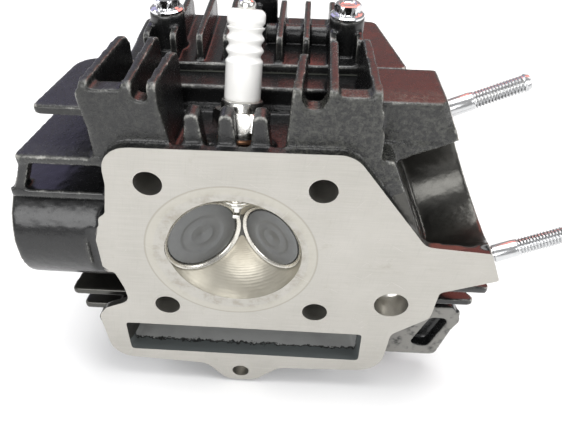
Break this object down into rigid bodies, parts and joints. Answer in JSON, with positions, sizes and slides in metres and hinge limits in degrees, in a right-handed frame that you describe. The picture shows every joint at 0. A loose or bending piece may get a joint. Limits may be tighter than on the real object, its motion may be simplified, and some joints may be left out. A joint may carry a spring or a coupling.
{
  "type": "cylinder head",
  "caption": "Finned single-cylinder engine head with tilted valves, camshaft, rocker arms, spark plug, chain tunnel, intake boss and studded exhaust recess.",
  "frame": {"origin": "centre of the four head-stud holes on the machined deck face", "axes": "+X towards the exhaust side, +Y from the deck into the head along the cylinder axis, +Z towards the spark-plug side, -Z towards the cam chain"},
  "size_m": [0.1854, 0.0978, 0.1552],
  "materials": {
    "cast_painted": "black paint on rough sand-cast aluminium, machined bare on the deck",
    "seat_steel": "ground",
    "valve_steel": "satin, darkened head",
    "bronze": "turned",
    "seal_rubber": "matte",
    "spring_steel": "satin",
    "dark_steel": "ground working faces",
    "bright_steel": "zinc bright",
    "chromed_steel": "bright plated",
    "gasket_fibre": "fibre sheet",
    "bare_aluminium": "turned",
    "nickel_shell": "nickel plated",
    "copper": "soft copper",
    "ceramic": "glazed white ceramic"
  },
  "bodies": {
    "head": {"head_casting": "cast_painted", "intake_valve_seat": "seat_steel", "exhaust_valve_seat": "seat_steel", "intake_valve_guide": "bronze", "exhaust_valve_guide": "bronze", "intake_stem_seal": "seal_rubber", "exhaust_stem_seal": "seal_rubber", "intake_spring_seat": "bright_steel", "exhaust_spring_seat": "bright_steel", "intake_outer_spring": "spring_steel", "exhaust_outer_spring": "spring_steel", "intake_inner_spring": "spring_steel", "exhaust_inner_spring": "spring_steel", "chain_side_bearing_outer": "bright_steel", "chain_side_bearing_balls": "bright_steel", "plug_side_bearing_outer": "bright_steel", "plug_side_bearing_balls": "bright_steel", "bearing_keeper_plate": "bright_steel", "bearing_keeper_bolt": "bright_steel", "rocker_shafts": "bright_steel", "finned_side_cover": "cast_painted", "finned_cover_gasket": "gasket_fibre", "finned_cover_bolts": "chromed_steel", "sprocket_cover": "cast_painted", "sprocket_cover_gasket": "gasket_fibre", "sprocket_cover_bolts": "bright_steel", "rear_cover": "cast_painted", "rear_cover_gasket": "gasket_fibre", "rear_cover_dowels": "bright_steel", "intake_tappet_cap": "bare_aluminium", "exhaust_tappet_cap": "bare_aluminium", "tappet_cap_o_rings": "seal_rubber", "plug_shell": "nickel_shell", "plug_gasket": "copper", "plug_insulator": "ceramic", "plug_terminal": "nickel_shell", "plug_centre_electrode": "nickel_shell", "plug_ground_electrode": "nickel_shell", "exhaust_studs": "bright_steel"},
    "camshaft": {"camshaft": "dark_steel", "chain_side_bearing_inner": "bright_steel", "plug_side_bearing_inner": "bright_steel", "cam_sprocket": "dark_steel", "sprocket_dowel": "bright_steel", "sprocket_bolts": "bright_steel"},
    "intake_rocker": {"intake_rocker_arm": "dark_steel", "intake_adjuster": "bright_steel", "intake_locknut": "bright_steel"},
    "intake_valve": {"intake_valve": "valve_steel", "intake_spring_retainer": "bright_steel", "intake_collets": "bright_steel"},
    "exhaust_rocker": {"exhaust_rocker_arm": "dark_steel", "exhaust_adjuster": "bright_steel", "exhaust_locknut": "bright_steel"},
    "exhaust_valve": {"exhaust_valve": "valve_steel", "exhaust_spring_retainer": "bright_steel", "exhaust_collets": "bright_steel"}
  },
  "joints": [
    {"name": "camshaft_spin", "type": "hinge", "parent": "head", "child": "camshaft", "pos_m": [-0.0014, 0.045, 0], "axis": [0, 0, 1], "continuous": true},
    {"name": "intake_rocker_swing", "type": "hinge", "parent": "head", "child": "intake_rocker", "pos_m": [-0.0159, 0.072, 0], "axis": [0, 0, 1], "range_deg": [0, 7.2]},
    {"name": "intake_valve_lift", "type": "slide", "parent": "head", "child": "intake_valve", "axis": [0.5446, -0.8387, 0], "range_m": [0, 0.0042], "deforming": ["intake_outer_spring", "intake_inner_spring"]},
    {"name": "exhaust_rocker_swing", "type": "hinge", "parent": "head", "child": "exhaust_rocker", "pos_m": [0.0131, 0.072, 0], "axis": [0, 0, -1], "range_deg": [0, 7.2]},
    {"name": "exhaust_valve_lift", "type": "slide", "parent": "head", "child": "exhaust_valve", "axis": [-0.5446, -0.8387, 0], "range_m": [0, 0.0042], "deforming": ["exhaust_outer_spring", "exhaust_inner_spring"]}
  ],
  "couplings": [
    {"joint": "intake_valve_lift", "follows": "intake_rocker_swing", "m_per_rad": 0.0334},
    {"joint": "exhaust_valve_lift", "follows": "exhaust_rocker_swing", "m_per_rad": 0.0334}
  ]
}
